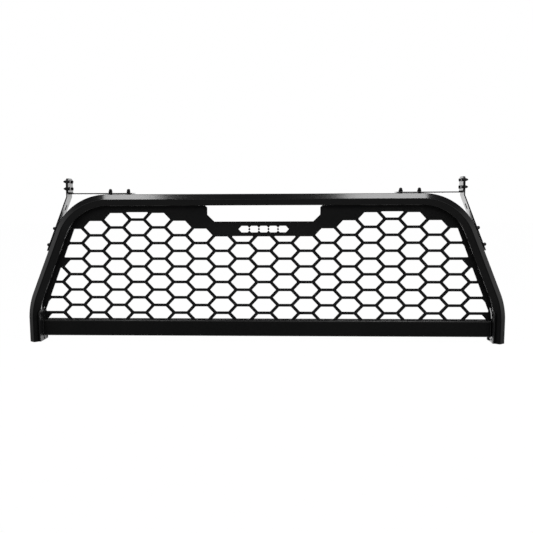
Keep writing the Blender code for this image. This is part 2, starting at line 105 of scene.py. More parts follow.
class Graph:
    """A node tree that is filled one node at a time."""

    def __init__(self, tree):
        self.tree = tree

    def add(self, kind, settings=None, inputs=None, output=0):
        node = self.tree.nodes.new(kind)
        for name, value in (settings or {}).items():
            if name == "stops":
                ramp = node.color_ramp
                while len(ramp.elements) < len(value):
                    ramp.elements.new(0.5)
                for element, (position, colour) in zip(ramp.elements, value):
                    element.position = position
                    element.color = colour if isinstance(colour, tuple) else (colour, colour, colour, 1)
            else:
                setattr(node, name, value)
        for key, value in (inputs or {}).items():
            for item in value if isinstance(value, list) else [value]:
                if isinstance(item, Socket):
                    self.tree.links.new(item.out, node.inputs[key])
                else:
                    node.inputs[key].default_value = item
        return Socket(self, node.outputs[output]) if len(node.outputs) else None


def finish_of(name, metallic=0.0):
    """A new material, the graph of its nodes, its shader and its Object coordinates."""
    material = bpy.data.materials.new(name)
    material.use_nodes = True
    graph = Graph(material.node_tree)
    shader = material.node_tree.nodes["Principled BSDF"]
    shader.inputs["Metallic"].default_value = metallic
    place = graph.add("ShaderNodeTexCoord", output="Object")
    return material, graph, shader, place


def feed(graph, shader, **values):
    for name, value in values.items():
        graph.tree.links.new(value.out, shader.inputs[name.replace("_", " ")])


def noise(graph, place, scale, detail=2.0, roughness=0.5):
    settings = {"Vector": place, "Scale": scale, "Detail": detail, "Roughness": roughness}
    return graph.add("ShaderNodeTexNoise", None, settings)


def ramp(graph, factor, stops):
    return graph.add("ShaderNodeValToRGB", {"stops": stops}, {"Fac": factor})


def blend_colours(graph, factor, first, second):
    return graph.add("ShaderNodeMix", {"data_type": "RGBA"}, {0: factor, 6: first, 7: second}, output=2)


def powder_coat(name, peel, base_roughness, tone):
    """Black powder coat: orange peel this deep, a little dust on what faces up, and fine handling marks. tone
    scales the base colour part by part, on copies of one and the same coat: above 1 it is painted light,
    below 1 painted shade.
    """
    material, graph, shader, place = finish_of(name)
    peel_noise = noise(graph, place, 420, 2)
    cloud = noise(graph, place, 5, 3)
    specks = ramp(graph, noise(graph, place, 1500, 1), [(0.70, 0), (0.78, 1)])
    facing = graph.add("ShaderNodeNewGeometry", output="Normal")
    upward = graph.add("ShaderNodeSeparateXYZ", None, {0: facing}, output="Z")
    faces_up = ramp(graph, upward * 0.5 + 0.5, [(0.80, 0), (1.0, 1)])
    film = faces_up * ramp(graph, noise(graph, place, 40, 4), [(0.42, 0), (0.7, 1)])
    streak_place = graph.add("ShaderNodeMapping", None, {"Vector": place, "Scale": (1.0, 1.0, 9.0)})
    marks = ramp(graph, noise(graph, streak_place, 160, 3, 0.65), [(0.60, 0), (0.66, 1)])
    # The base colour, scaled by tone part by part: painted light and painted shade on one coat.
    dark = (0.0085 * tone, 0.0085 * tone, 0.0090 * tone, 1)
    light = (0.0125 * tone, 0.0125 * tone, 0.0130 * tone, 1)
    body = blend_colours(graph, ramp(graph, cloud, [(0.3, 0), (0.7, 1)]), dark, light)
    dusty = blend_colours(graph, film * 0.02 + specks * 0.012, body, (0.16, 0.155, 0.15, 1))
    rough = base_roughness + cloud * 0.05 + film * 0.10 + marks * 0.05
    bump = graph.add("ShaderNodeBump", None, {"Strength": 1.0, "Distance": peel, "Height": peel_noise})
    feed(graph, shader, Base_Color=dusty, Roughness=rough, Normal=bump)
    return material


def arc(centre, radius, start, end, steps):
    """Points of an arc, its angles in degrees."""
    found = []
    for i in range(steps + 1):
        angle = math.radians(start + (end - start) * i / steps)
        found.append((centre[0] + radius * math.cos(angle), centre[1] + radius * math.sin(angle)))
    return found


def rounded(corners, radii, steps=4, hold=0.0):
    """A closed loop through corners, each rounded to its radius. hold adds a point that far past each arc."""
    loop = []
    for i, (corner, radius) in enumerate(zip(corners, radii)):
        here = Vector(corner)
        back = (Vector(corners[i - 1]) - here).normalized()
        ahead = (Vector(corners[(i + 1) % len(corners)]) - here).normalized()
        if radius == 0:
            loop.append(tuple(here))
            continue
        half = back.angle(ahead) / 2
        reach = radius / math.tan(half)
        centre = here + (back + ahead).normalized() * (radius / math.sin(half))
        first = here + back * reach - centre
        last = here + ahead * reach - centre
        start = math.degrees(math.atan2(first.y, first.x))
        sweep = math.degrees(math.atan2(last.y, last.x)) - start
        sweep = (sweep + 180) % 360 - 180
        curve = arc(centre, radius, start, start + sweep, steps)
        if hold:
            curve = [tuple(here + back * (reach + hold)), *curve, tuple(here + ahead * (reach + hold))]
        loop += curve
    return loop


def guide(name, points, links=()):
    """Points, and lines between them, for a node tree to read."""
    mesh = bpy.data.meshes.new(name)
    mesh.from_pydata([tuple(point) for point in points], list(links), [])
    thing = bpy.data.objects.new(name, mesh)
    scene.collection.objects.link(thing)
    return thing


def loops_guide(name, loops, closed=True):
    """Several lines of (x, y, z) points, each closed on itself or open."""
    points, links = [], []
    for loop in loops:
        first = len(points)
        points += loop
        links += [(first + i, first + i + 1) for i in range(len(loop) - 1)]
        if closed:
            links.append((len(points) - 1, first))
    return guide(name, points, links)


def node_tree(name, inputs):
    """A geometry tree with named inputs. Returns its graph, a socket for each input, and a closing step."""
    tree = bpy.data.node_groups.new(name, "GeometryNodeTree")
    tree.interface.new_socket("Geometry", in_out="INPUT", socket_type="NodeSocketGeometry")
    for label, kind in inputs:
        tree.interface.new_socket(label, in_out="INPUT", socket_type="NodeSocket" + kind)
    tree.interface.new_socket("Geometry", in_out="OUTPUT", socket_type="NodeSocketGeometry")
    graph = Graph(tree)
    start = graph.add("NodeGroupInput")
    sockets = {label: start.other(label) for label, kind in inputs}

    def close(geometry, smooth=True):
        whole = graph.add("GeometryNodeRealizeInstances", None, {"Geometry": geometry})
        shaded = graph.add("GeometryNodeSetShadeSmooth", None, {"Geometry": whole, "Shade Smooth": smooth})
        finish = {"Geometry": shaded, "Material": sockets["Material"]}
        graph.add("NodeGroupOutput", None, {0: graph.add("GeometryNodeSetMaterial", None, finish)})

    return graph, sockets, close


def plain_mesh(thing):
    """The evaluated mesh of an object, which is removed."""
    bpy.context.view_layer.update()
    depsgraph = bpy.context.evaluated_depsgraph_get()
    mesh = bpy.data.meshes.new_from_object(thing.evaluated_get(depsgraph), depsgraph=depsgraph)
    mesh.name = thing.name
    mesh.transform(thing.matrix_world)
    bpy.data.objects.remove(thing)
    return mesh


def grow(name, graph, values):
    """The plain mesh that a geometry tree makes with these input values. Guide objects are removed."""
    holder = guide(name, [])
    step = holder.modifiers.new("tree", "NODES")
    step.node_group = graph.tree
    for item in graph.tree.interface.items_tree:
        if item.in_out == "INPUT" and item.name in values:
            step[item.identifier] = values[item.name]
    mesh = plain_mesh(holder)
    for value in values.values():
        if isinstance(value, bpy.types.Object):
            bpy.data.objects.remove(value)
    return mesh


def thing_of(name, mesh):
    thing = bpy.data.objects.new(name, mesh)
    scene.collection.objects.link(thing)
    return thing


def tidy_normals(mesh, merge=1e-6):
    """Merge doubles and face everything outwards."""
    shell = bmesh.new()
    shell.from_mesh(mesh)
    bmesh.ops.remove_doubles(shell, verts=shell.verts, dist=merge)
    bmesh.ops.recalc_face_normals(shell, faces=shell.faces)
    shell.to_mesh(mesh)
    shell.free()
    return mesh


def cut(solid, cutter, operation="DIFFERENCE"):
    """Boolean a mesh with another object, which is removed, and return the new mesh's object."""
    step = solid.modifiers.new("cut", "BOOLEAN")
    step.operation = operation
    step.object = cutter
    name = solid.name
    mesh = plain_mesh(solid)
    bpy.data.objects.remove(cutter)
    return thing_of(name, tidy_normals(mesh, 2e-7))


def rod(name, radius, length, place, axis, sides=32):
    """A cylinder along axis, centred on place."""
    mesh = bpy.data.meshes.new(name)
    shell = bmesh.new()
    ends = {"radius1": radius, "radius2": radius, "cap_ends": True}
    bmesh.ops.create_cone(shell, segments=sides, depth=length, **ends)
    shell.to_mesh(mesh)
    shell.free()
    turn = UP.rotation_difference(Vector(axis)).to_matrix().to_4x4()
    mesh.transform(Matrix.Translation(place) @ turn @ Matrix.Rotation(math.radians(3), 4, "Z"))
    return thing_of(name, mesh)


def drill(solid, spots, radius, length):
    """Drill a hole through solid at each (place, axis)."""
    whole = bmesh.new()
    for place, axis in spots:
        one = rod("drill", radius, length, place, axis)
        whole.from_mesh(one.data)
        bpy.data.objects.remove(one)
    mesh = bpy.data.meshes.new("drills")
    whole.to_mesh(mesh)
    whole.free()
    return cut(solid, thing_of("drills", mesh))


def eased(solid, width, segments=2, angle=35):
    """Break the sharp edges of a solid, as deburring and a coat of powder do."""
    step = solid.modifiers.new("edges", "BEVEL")
    step.width = width
    step.segments = segments
    step.limit_method = "ANGLE"
    step.angle_limit = math.radians(angle)
    step.harden_normals = True
    solid.data.shade_smooth()
    name = solid.name
    return thing_of(name, plain_mesh(solid))


def keep(piece, material, slot, *nodes):
    """Hand over a finished piece: its material, its body and the solids it stands for. slot, its finish, is
    not used.
    """
    piece.data.materials.clear()
    piece.data.materials.append(material)
    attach(piece, "root")
    if nodes:
        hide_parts(*nodes)


def leg_line():
    """Where a right leg's outer face meets its shoulder, with the leg's upward and outward directions."""
    out = Vector((math.cos(LEAN), math.sin(LEAN)))
    shoulder = Vector((SHOULDER_X, RACK_HEIGHT - SHOULDER_RADIUS)) + out * SHOULDER_RADIUS
    return shoulder, Vector((-math.sin(LEAN), math.cos(LEAN))), out


def hoop_path(inset, bend_steps=16, shoulder_steps=44):
    """Points in X and Z along the hoop, inset from its outer face, from the left foot to the right."""
    lean = math.degrees(LEAN)
    shoulder, up, out = leg_line()
    corner_drop = (HALF_WIDTH - shoulder.x) / math.sin(LEAN)
    bend_start = shoulder.y - corner_drop * math.cos(LEAN) - FOOT_BEND_RADIUS * math.tan(LEAN / 2)
    foot_centre = (HALF_WIDTH - FOOT_BEND_RADIUS, bend_start)
    right = [(HALF_WIDTH - inset, 0.0)]
    right += arc(foot_centre, FOOT_BEND_RADIUS - inset, 0, lean, bend_steps)
    shoulder_centre = (SHOULDER_X, RACK_HEIGHT - SHOULDER_RADIUS)
    right += arc(shoulder_centre, SHOULDER_RADIUS - inset, lean, 90, shoulder_steps)
    left = [(-x, z) for x, z in right]
    return left + right[::-1]


def tube_section(inset=0.0):
    """The tube's outline: x across the plane of the rack, y through it."""
    half = TUBE_WIDTH / 2
    slope = (TUBE_FRONT - TUBE_NOSE) / half
    nose = TUBE_NOSE + inset * math.hypot(1, slope)
    edge = nose + (half - inset) * slope
    corners = [(half - inset, TUBE_BACK - inset), (inset - half, TUBE_BACK - inset), (inset - half, edge)]
    corners += [(0, nose), (half - inset, edge)]
    radii = (TUBE_BACK_RADIUS, TUBE_BACK_RADIUS, TUBE_SIDE_RADIUS, TUBE_NOSE_RADIUS, TUBE_SIDE_RADIUS)
    return rounded(corners, [radius - inset for radius in radii], 6, HOLD)


graph, sockets, close = node_tree("sweep", [
    ("Path", "Object"), ("Section", "Object"), ("Material", "Material"),
])
lines = []
for label in ("Path", "Section"):
    source = graph.add("GeometryNodeObjectInfo", None, {"Object": sockets[label]}, output="Geometry")
    lines.append(graph.add("GeometryNodeMeshToCurve", None, {"Mesh": source}))
along_path = {"Curve": lines[0], "Profile Curve": lines[1], "Fill Caps": False}
close(graph.add("GeometryNodeCurveToMesh", None, along_path))
sweep = graph

gloss_black = powder_coat("gloss_black_powder_coat", 0.00002, 0.13, 1.0)
hoop_line = [(x, 0, z) for x, z in hoop_path(TUBE_WIDTH / 2)]
section_line = [(x, y, 0) for x, y in tube_section()]
hoop_mesh = grow("frame_hoop", sweep, {
    "Path": loops_guide("hoop_line", [hoop_line], closed=False),
    "Section": loops_guide("hoop_section", [section_line]),
    "Material": gloss_black,
})
hoop_mesh.name = "hoop_tube"
hoop = thing_of("hoop_tube", tidy_normals(hoop_mesh))
wall = hoop.modifiers.new("wall", "SOLIDIFY")
wall.thickness = TUBE_WALL
wall.offset = -1
wall.use_even_offset = True
hoop = thing_of("hoop_tube", plain_mesh(hoop))

# The arms and struts are held to the hoop by rivet nuts, and the foot bolts pass through its inner walls.
BRACKET_Y = 0.0070
RIVET_NUT_BODY = 0.0055
TOP_STUD_X = (0.493, 0.5595)
SIDE_STUD_HEIGHTS = (0.4135, 0.3535)
FOOT_PLATE = 0.0041
GAP = 0.0003
PLATE_FACE = HALF_WIDTH - TUBE_WIDTH - GAP - FOOT_PLATE
FOOT_HOLE = 0.0052
FOOT_HOLE_HEIGHT = 0.0108
FOOT_HOLE_Y = (-0.0007, 0.0247)


def on_leg(sign, height, stand_off=0.0, y=BRACKET_Y):
    """A point over a leg's outer face at that height, and the face's outward direction."""
    shoulder, up, out = leg_line()
    spot = shoulder + up * ((height - shoulder.y) / math.cos(LEAN)) + out * stand_off
    return Vector((sign * spot.x, y, spot.y)), Vector((sign * out.x, 0, out.y))


nut_holes = [(Vector((sign * x, BRACKET_Y, RACK_HEIGHT)), UP) for side, sign in SIDES for x in TOP_STUD_X]
nut_holes += [on_leg(sign, height) for side, sign in SIDES for height in SIDE_STUD_HEIGHTS]
hoop = drill(hoop, nut_holes, RIVET_NUT_BODY + GAP, 0.012)
foot_holes = [(Vector((sign * (PLATE_FACE + 0.005), y, FOOT_HOLE_HEIGHT)), Vector((1, 0, 0)))
              for side, sign in SIDES for y in FOOT_HOLE_Y]
hoop = drill(hoop, foot_holes, FOOT_HOLE, 0.006)
hoop.name = "hoop_tube"
hoop.data.shade_smooth()
hoop.data.set_sharp_from_angle(angle=math.radians(32))
keep(hoop, gloss_black, "powder_coat", "frame_hoop")


# ----------------------------------------------------------------------------------------------------------
# Mesh panel
# One 3 mm sheet, laser-cut with staggered long hexagons and set inside the hoop. A window is left open under
# the top run, over a solid strip with five small openings, and the solid margins follow the legs.
# ----------------------------------------------------------------------------------------------------------
PANEL_FRONT = 0.012
PANEL_THICKNESS = 0.003
CELL_PITCH_X = 0.0776
CELL_PITCH_Z = 0.02892
LATTICE_HEIGHT = 0.3065
CELL_TIP = 0.0445
CELL_EDGE = 0.0221
CELL_RISE = 0.0239
CELL_CORNER = 0.0022
BORDER_X = 0.745
BORDER_SLOPE = 0.396
RAIL_TOP = 0.0803
SIGN_BOTTOM = 0.3895
TOP_MARGIN = 0.4780
BADGE_HEIGHT = 0.4150
BADGE_PITCH = 0.0350
BADGE_SCALE = 0.5
SHEET_OVERLAP = 0.0005  # how far the sheet runs into the weld along the hoop
OPEN_ROW = 8
OPEN_TO_MARGIN = ((-1, 9), (6, 10))  # no web outside these, so they run on to the margin
WINDOW = [(0.2135, 0.5012), (0.2060, 0.4945), (0.2060, 0.4675), (0.1810, 0.4430)]
ODD, EVEN = (1, 3, 5, 7, 9), (0, 2, 4, 6, 8)
ROWS = {
    -6: (6,), -5: (5, 7), -4: (4, 6, 8), -3: ODD, -2: EVEN, -1: ODD, 0: EVEN, 1: ODD, 2: (*EVEN, 10), 3: ODD,
    4: (*EVEN, 10), 5: ODD, 6: (*EVEN, 10), 7: ODD,
}


def trimmed(loop, normal, limit):
    """The part of a convex loop where normal . point is under limit."""
    kept = []
    for (x0, z0), (x1, z1) in zip(loop, loop[1:] + loop[:1]):
        d0 = normal[0] * x0 + normal[1] * z0 - limit
        d1 = normal[0] * x1 + normal[1] * z1 - limit
        if d0 <= 0:
            kept.append((x0, z0))
        if d0 * d1 < 0:
            t = d0 / (d0 - d1)
            kept.append((x0 + t * (x1 - x0), z0 + t * (z1 - z0)))
    return kept


# Openings that meet a margin are cut short by it. The whole ones are left to the node tree.
whole_cells, short_cells = [], []
for row, columns in ROWS.items():
    for column in sorted({sign * c for c in columns for sign in (-1, 1)}):
        x, z = column * CELL_PITCH_X, LATTICE_HEIGHT - row * CELL_PITCH_Z
        corners = [(-CELL_TIP, 0), (-CELL_EDGE, -CELL_RISE), (CELL_EDGE, -CELL_RISE)]
        corners += [(-dx, -dz) for dx, dz in corners]
        if (row, abs(column)) in OPEN_TO_MARGIN:
            outer = math.copysign(1, column)
            corners[2:5] = [(2 * CELL_TIP - CELL_EDGE, -CELL_RISE), (CELL_EDGE, CELL_RISE)]
            corners = [(outer * dx, dz) for dx, dz in corners]
        cell = [(x + dx, z + dz) for dx, dz in corners]
        short = trimmed(trimmed(cell, (1, BORDER_SLOPE), BORDER_X + BORDER_SLOPE * LATTICE_HEIGHT),
                        (-1, BORDER_SLOPE), BORDER_X + BORDER_SLOPE * LATTICE_HEIGHT)
        if row == -3 and abs(column) == 1:
            short = trimmed(short, (0, 1), SIGN_BOTTOM)
        if row == -6:
            short = trimmed(short, (0, 1), TOP_MARGIN)
        if short == cell:
            whole_cells.append((x, z, 0))
        else:
            short_cells.append([(px, pz, 0) for px, pz in short])
badge_cells = [(step * BADGE_PITCH, BADGE_HEIGHT, 0) for step in range(-2, 3)]

# Outer edge: up the left leg, round the window, down the right leg, and along the row that the rail cuts
panel_bottom = RAIL_TOP - GAP
edge_limit = PLATE_FACE - GAP
inner_line = [(min(x, edge_limit), z, 0) for x, z in hoop_path(TUBE_WIDTH - SHEET_OVERLAP)
              if z > panel_bottom and x > 0]
teeth = []
for column in range(10, -11, -2):
    x, z = column * CELL_PITCH_X, LATTICE_HEIGHT - OPEN_ROW * CELL_PITCH_Z
    flare = CELL_TIP - (CELL_TIP - CELL_EDGE) * (panel_bottom - z) / CELL_RISE
    teeth += [(x + flare, panel_bottom, 0), (x + CELL_EDGE, z + CELL_RISE, 0)]
    teeth += [(x - CELL_EDGE, z + CELL_RISE, 0), (x - flare, panel_bottom, 0)]
window_edge = [(-x, z, 0) for x, z in WINDOW] + [(x, z, 0) for x, z in WINDOW[::-1]]
panel_edge = [(-x, z, 0) for x, z, y in inner_line[::-1]] + window_edge + inner_line
panel_edge += [(edge_limit, panel_bottom, 0), *teeth, (-edge_limit, panel_bottom, 0)]

graph, sockets, close = node_tree("laser_cut_sheet", [
    ("Edges", "Object"), ("Cells", "Object"), ("Small Cells", "Object"), ("Tip", "Float"), ("Edge", "Float"),
    ("Rise", "Float"), ("Corner", "Float"), ("Small Scale", "Float"), ("Thickness", "Float"),
    ("Material", "Material"),
])
ring = graph.add("GeometryNodeMeshCircle", None, {"Vertices": 6, "Radius": sockets["Tip"]})
spot = graph.add("GeometryNodeInputPosition")
across = graph.add("ShaderNodeSeparateXYZ", None, {0: spot}, output="X")
along = across.other("Y")
high = sockets["Tip"] * math.sin(math.radians(60))
on_side = graph.add("ShaderNodeMath", {"operation": "ABSOLUTE"}, {0: along}) / high
spread = 1 - on_side + on_side * (sockets["Edge"] * 2 / sockets["Tip"])
squashed = along * (sockets["Rise"] / high)
shape = graph.add("ShaderNodeCombineXYZ", None, {"X": across * spread, "Y": squashed})
hexagon = graph.add("GeometryNodeSetPosition", None, {"Geometry": ring, "Position": shape})
outline_of = [graph.add("GeometryNodeMeshToCurve", None, {"Mesh": hexagon})]
for label in ("Cells", "Small Cells"):
    spots = graph.add("GeometryNodeObjectInfo", None, {"Object": sockets[label]}, output="Geometry")
    scale = {"Scale": sockets["Small Scale"]} if label == "Small Cells" else {}
    on_spots = {"Points": spots, "Instance": outline_of[0], **scale}
    repeated = graph.add("GeometryNodeInstanceOnPoints", None, on_spots)
    outline_of.append(graph.add("GeometryNodeRealizeInstances", None, {"Geometry": repeated}))
edges = graph.add("GeometryNodeObjectInfo", None, {"Object": sockets["Edges"]}, output="Geometry")
outline_of[0] = graph.add("GeometryNodeMeshToCurve", None, {"Mesh": edges})
lines = graph.add("GeometryNodeJoinGeometry", None, {"Geometry": outline_of})
fillet_inputs = {"Curve": lines, "Radius": sockets["Corner"], "Limit Radius": True}
soft_lines = graph.add("GeometryNodeFilletCurve", None, fillet_inputs)
fillet = soft_lines.out.node
if "Mode" in fillet.inputs:
    fillet.inputs["Mode"].default_value = "Poly"
else:
    fillet.mode = "POLY"
fillet.inputs["Count"].default_value = 3
face = graph.add("GeometryNodeFillCurve", None, {"Curve": soft_lines})
back = graph.add("GeometryNodeExtrudeMesh", None, {
    "Mesh": face, "Offset": graph.add("ShaderNodeCombineXYZ", None, {"Z": 1.0}),
    "Offset Scale": sockets["Thickness"], "Individual": False,
})
front = graph.add("GeometryNodeFlipFaces", None, {"Mesh": face})
both = graph.add("GeometryNodeJoinGeometry", None, {"Geometry": [back, front]})
joined = graph.add("GeometryNodeMergeByDistance", None, {"Geometry": both, "Distance": 0.000005})
close(joined, smooth=False)
panel_mesh = grow("mesh_panel_sheet", graph, {
    "Edges": loops_guide("panel_edges", [panel_edge, *short_cells]),
    "Cells": guide("panel_cells", whole_cells), "Small Cells": guide("panel_small_cells", badge_cells),
    "Tip": CELL_TIP, "Edge": CELL_EDGE, "Rise": CELL_RISE, "Corner": CELL_CORNER, "Small Scale": BADGE_SCALE,
    "Thickness": PANEL_THICKNESS, "Material": gloss_black,
})
panel_mesh.transform(Matrix.Translation((0, PANEL_FRONT + PANEL_THICKNESS, 0)) @ ACROSS)
panel = eased(thing_of("mesh_panel_sheet", tidy_normals(panel_mesh)), 0.00035)
# The sheet's copy of the coat is painted lighter, tone 1.6: painted light.
sheet_black = powder_coat("sheet_black_powder_coat", 0.000012, 0.28, 1.6)
keep(panel, sheet_black, "powder_coat", "mesh_panel")


# ----------------------------------------------------------------------------------------------------------
# Bottom rail
# A rounded box tube, square-cut and butt-welded to the foot plates. The sheet stands on its top face.
# ----------------------------------------------------------------------------------------------------------
RAIL_HEIGHT = 0.0605
RAIL_DEPTH = 0.040
RAIL_CORNER = 0.006
RAIL_WALL = 0.0025


def flat_piece(name, loops, thickness):
    """Closed loops of (x, y) points, the first the edge and the rest holes, made solid along Z."""
    curve = bpy.data.curves.new(name, "CURVE")
    curve.dimensions = "2D"
    curve.fill_mode = "BOTH"
    curve.extrude = thickness / 2
    for loop in loops:
        spline = curve.splines.new("POLY")
        spline.points.add(len(loop) - 1)
        for point, (x, y) in zip(spline.points, loop):
            point.co = (x, y, 0, 1)
        spline.use_cyclic_u = True
    return tidy_normals(plain_mesh(thing_of(name, curve)))


def box_loop(width, height, radius):
    half, rise = width / 2, height / 2
    corners = [(-half, -rise), (half, -rise), (half, rise), (-half, rise)]
    return rounded(corners, [radius] * 4, 7, HOLD)


rail_loops = [box_loop(RAIL_DEPTH, RAIL_HEIGHT, RAIL_CORNER),
              box_loop(RAIL_DEPTH - 2 * RAIL_WALL, RAIL_HEIGHT - 2 * RAIL_WALL, RAIL_CORNER - RAIL_WALL)]
rail_mesh = flat_piece("bottom_rail_tube", rail_loops, 2 * (PLATE_FACE - GAP))
rail_mesh.transform(Matrix.Translation((0, PANEL_FRONT, RAIL_TOP - RAIL_HEIGHT / 2)) @ SIDEWAYS)
rail = thing_of("bottom_rail_tube", rail_mesh)
rail_mesh.shade_smooth()
rail_mesh.set_sharp_from_angle(angle=math.radians(32))
# The rail's copy of the coat is painted darker, tone 0.5: painted shade for the rail low by the floor.
rail_black = powder_coat("rail_black_powder_coat", 0.000012, 0.34, 0.5)
keep(rail, rail_black, "powder_coat", "bottom_rail")


# ----------------------------------------------------------------------------------------------------------
# Foot plates
# Flat steel, welded to the inner side of each foot. Two holes under the rail take the bolts to the truck.
# ----------------------------------------------------------------------------------------------------------
FOOT_PLATE_BOTTOM = 0.0021
FOOT_PLATE_TOP = 0.119
FOOT_PLATE_CORNER = 0.018
FOOT_PLATE_HALF = 0.034

# The plates' copy of the coat is painted a little lighter, tone 1.2: painted light.
plate_black = powder_coat("plate_black_powder_coat", 0.00003, 0.45, 1.2)
for side, sign in SIDES:
    low, top, half = FOOT_PLATE_BOTTOM, FOOT_PLATE_TOP, FOOT_PLATE_HALF
    edge = rounded([(-half, low), (half, low), (half, top), (-half, top)],
                   [0.002, 0.002, FOOT_PLATE_CORNER, FOOT_PLATE_CORNER], 10)
    mesh = flat_piece(f"foot_plate_steel_{side}", [edge], FOOT_PLATE)
    mesh.transform(Matrix.Translation((sign * (PLATE_FACE + FOOT_PLATE / 2), 0, 0)) @ SIDEWAYS)
    plate = thing_of(mesh.name, mesh)
    around_foot = [(x, 0, z) for x, z in hoop_path(TUBE_WIDTH / 2) if sign * x > 0.7]
    clearance = grow("foot_clearance", sweep, {
        "Path": loops_guide("clearance_line", [around_foot], closed=False),
        "Section": loops_guide("clearance_section", [[(x, y, 0) for x, y in tube_section(-GAP)]]),
        "Material": gloss_black,
    })
    shell = bmesh.new()
    shell.from_mesh(tidy_normals(clearance))
    bmesh.ops.holes_fill(shell, edges=shell.edges)
    bmesh.ops.translate(shell, verts=[v for v in shell.verts if v.co.z < 0.001], vec=(0, 0, -0.01))
    bmesh.ops.recalc_face_normals(shell, faces=shell.faces)
    shell.to_mesh(clearance)
    shell.free()
    plate = cut(plate, thing_of("foot_clearance", clearance))
    middle = sign * (PLATE_FACE + FOOT_PLATE / 2)
    spots = [(Vector((middle, y, FOOT_HOLE_HEIGHT)), Vector((1, 0, 0))) for y in FOOT_HOLE_Y]
    plate = eased(drill(plate, spots, FOOT_HOLE, 0.02), 0.0005)
    plate.name = f"foot_plate_steel_{side}"
    keep(plate, plate_black, "powder_coat", f"foot_plate_{side}")


# ----------------------------------------------------------------------------------------------------------
# Welds
# Short runs of fused metal under the same powder: right round each end of the rail, down the back of each
# foot plate, and in stitches behind the sheet, along the hoop and the rail.
# ----------------------------------------------------------------------------------------------------------
BEAD_RADIUS = 0.0019
RIPPLE_PITCH = 0.0015
STITCH = 0.024

graph, sockets, close = node_tree("weld_bead", [
    ("Lines", "Object"), ("Bead Radius", "Float"), ("Ripple Pitch", "Float"), ("Seed", "Int"),
    ("Material", "Material"),
])
source = graph.add("GeometryNodeObjectInfo", None, {"Object": sockets["Lines"]}, output="Geometry")
line = graph.add("GeometryNodeMeshToCurve", None, {"Mesh": source})
spacing = {"Curve": line, "Length": sockets["Ripple Pitch"]}
steps = graph.add("GeometryNodeCurveToPoints", {"mode": "LENGTH"}, spacing)
ball = {"Segments": 10, "Rings": 6, "Radius": sockets["Bead Radius"]}
ripple = graph.add("GeometryNodeMeshUVSphere", None, ball)
swell_range = {2: 0.88, 3: 1.12, "Seed": sockets["Seed"]}
swell = graph.add("FunctionNodeRandomValue", {"data_type": "FLOAT"}, swell_range, output=1)
beads = graph.add("GeometryNodeInstanceOnPoints", None, {
    "Points": steps, "Instance": ripple, "Rotation": steps.other("Rotation"), "Scale": swell,
})
close(beads)

bead_lines = []
for side, sign in SIDES:
    end_x = sign * (PLATE_FACE - 0.0012)
    ring = [(end_x, PANEL_FRONT + y, RAIL_TOP - RAIL_HEIGHT / 2 + z)
            for y, z in box_loop(RAIL_DEPTH + 0.001, RAIL_HEIGHT + 0.001, RAIL_CORNER + 0.0005)]
    bead_lines.append([*ring, ring[0]])
    seam_x = sign * (HALF_WIDTH - TUBE_WIDTH)
    bead_lines.append([(seam_x, TUBE_BACK - 0.0005, 0.006), (seam_x, TUBE_BACK - 0.0005, 0.080)])
# Stitches between the sheet and the hoop, spaced along the hoop's inner face
inner_face = [Vector((x, z)) for x, z in hoop_path(TUBE_WIDTH + 0.0004, 60, 160) if z > RAIL_TOP + 0.02]
run = [0.0]
for here, there in zip(inner_face, inner_face[1:]):
    run.append(run[-1] + (there - here).length)


def along_hoop(distance):
    for i, reached in enumerate(run[1:], 1):
        if reached >= distance:
            part = (distance - run[i - 1]) / (reached - run[i - 1])
            return inner_face[i - 1].lerp(inner_face[i], part)
    return inner_face[-1]


STITCHES = 15
for number in range(STITCHES):
    middle = run[-1] * (number + 0.5) / STITCHES
    spots = [along_hoop(middle + STITCH * (part / 8 - 0.5)) for part in range(9)]
    if all(abs(spot.x) > 0.22 for spot in spots):
        bead_lines.append([(x, PANEL_FRONT + PANEL_THICKNESS, z) for x, z in spots])
for column in range(-9, 10, 2):
    x = column * CELL_PITCH_X
    bead_lines.append([(x - STITCH / 2, PANEL_FRONT + PANEL_THICKNESS, RAIL_TOP),
                       (x + STITCH / 2, PANEL_FRONT + PANEL_THICKNESS, RAIL_TOP)])
bead_mesh = grow("weld_beads", graph, {
    "Lines": loops_guide("bead_lines", bead_lines, closed=False),
    "Bead Radius": BEAD_RADIUS, "Ripple Pitch": RIPPLE_PITCH, "Seed": 7, "Material": gloss_black,
})
welds = thing_of("weld_beads", bead_mesh)
# The welds' copy of the coat is painted a little lighter, tone 1.1: painted light.
keep(welds, powder_coat("weld_black_powder_coat", 0.00003, 0.24, 1.1), "powder_coat")


# ----------------------------------------------------------------------------------------------------------
# Foot plugs
# Moulded plastic caps pushed into the open tube ends, so that water and grit stay out of the hoop.
# ----------------------------------------------------------------------------------------------------------
PLUG_THICKNESS = 0.004
PLUG_RECESS = 0.001
PLUG_RIM = 0.003
PLUG_POCKET = 0.0018

plastic, graph, shader, place = finish_of("moulded_black_plastic")
grain = noise(graph, place, 2600, 2)
tone = blend_colours(graph, noise(graph, place, 60, 3), (0.016, 0.016, 0.016, 1), (0.032, 0.032, 0.031, 1))
feed(graph, shader, Base_Color=tone, Roughness=grain * 0.15 + 0.48,
     Normal=graph.add("ShaderNodeBump", None, {"Strength": 0.6, "Distance": 0.0001, "Height": grain}))
for side, sign in SIDES:
    outer = tube_section(TUBE_WALL + GAP)
    mesh = flat_piece(f"foot_plug_cap_{side}", [outer], PLUG_THICKNESS)
    plug = thing_of(mesh.name, mesh)
    pocket = flat_piece("plug_pocket", [tube_section(TUBE_WALL + PLUG_RIM)], 2 * PLUG_POCKET)
    pocket.transform(Matrix.Translation((0, 0, -PLUG_THICKNESS / 2)))
    plug = cut(plug, thing_of("plug_pocket", pocket))
    seat = (sign * (HALF_WIDTH - TUBE_WIDTH / 2), 0, PLUG_RECESS + PLUG_THICKNESS / 2)
    plug.data.transform(Matrix.Translation(seat))
    plug = eased(plug, 0.0003)
    plug.name = f"foot_plug_cap_{side}"
    keep(plug, plastic, "plug_plastic", f"foot_plug_{side}")


